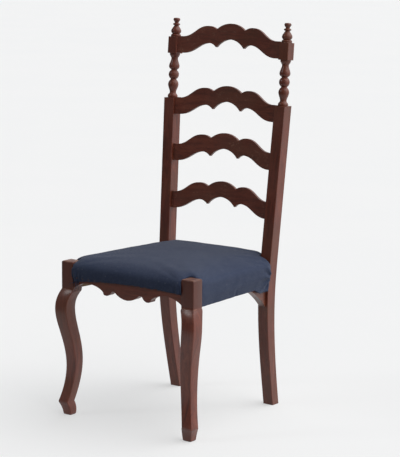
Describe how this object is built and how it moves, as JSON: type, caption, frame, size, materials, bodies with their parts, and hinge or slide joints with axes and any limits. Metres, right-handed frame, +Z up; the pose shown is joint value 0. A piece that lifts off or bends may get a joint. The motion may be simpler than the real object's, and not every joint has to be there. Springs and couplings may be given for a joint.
{
  "type": "ladder-back side chair",
  "caption": "High-backed dining chair with scalloped slats, turned finials, curved front legs and a padded cloth seat.",
  "frame": {"origin": "on the floor, at the middle of the chair's width and depth", "axes": "+Z up, front of the chair towards -Y, +X to the right of someone facing the chair's front"},
  "size_m": [0.4956, 0.5102, 1.1144],
  "materials": {
    "frame_wood": "satin dark red-brown varnish",
    "block_wood": "unvarnished",
    "screw_steel": "dull",
    "jute_webbing": "woven jute",
    "tack_steel": "blued",
    "hessian": "open plain weave",
    "stuffing": "curled hair",
    "wadding": "felted cotton",
    "seat_cloth": "navy plain weave",
    "tack_brass": "tarnished"
  },
  "bodies": {
    "root": {"front_leg_left": "frame_wood", "front_leg_right": "frame_wood", "rear_post_left": "frame_wood", "rear_post_right": "frame_wood", "slat_top": "frame_wood", "slat_upper": "frame_wood", "slat_lower": "frame_wood", "slat_bottom": "frame_wood", "front_rail": "frame_wood", "side_rail_left": "frame_wood", "side_rail_right": "frame_wood", "rear_rail": "frame_wood", "side_bracket_left": "frame_wood", "side_bracket_right": "frame_wood", "corner_block_front_left": "block_wood", "corner_block_front_right": "block_wood", "corner_block_rear_left": "block_wood", "corner_block_rear_right": "block_wood", "corner_screws": "screw_steel", "webbing_front_to_back": "jute_webbing", "webbing_side_to_side": "jute_webbing", "webbing_tacks": "tack_steel", "hessian": "hessian", "stuffing": "stuffing", "wadding": "wadding", "seat_cover": "seat_cloth", "cover_tacks": "tack_brass"}
  },
  "joints": []
}
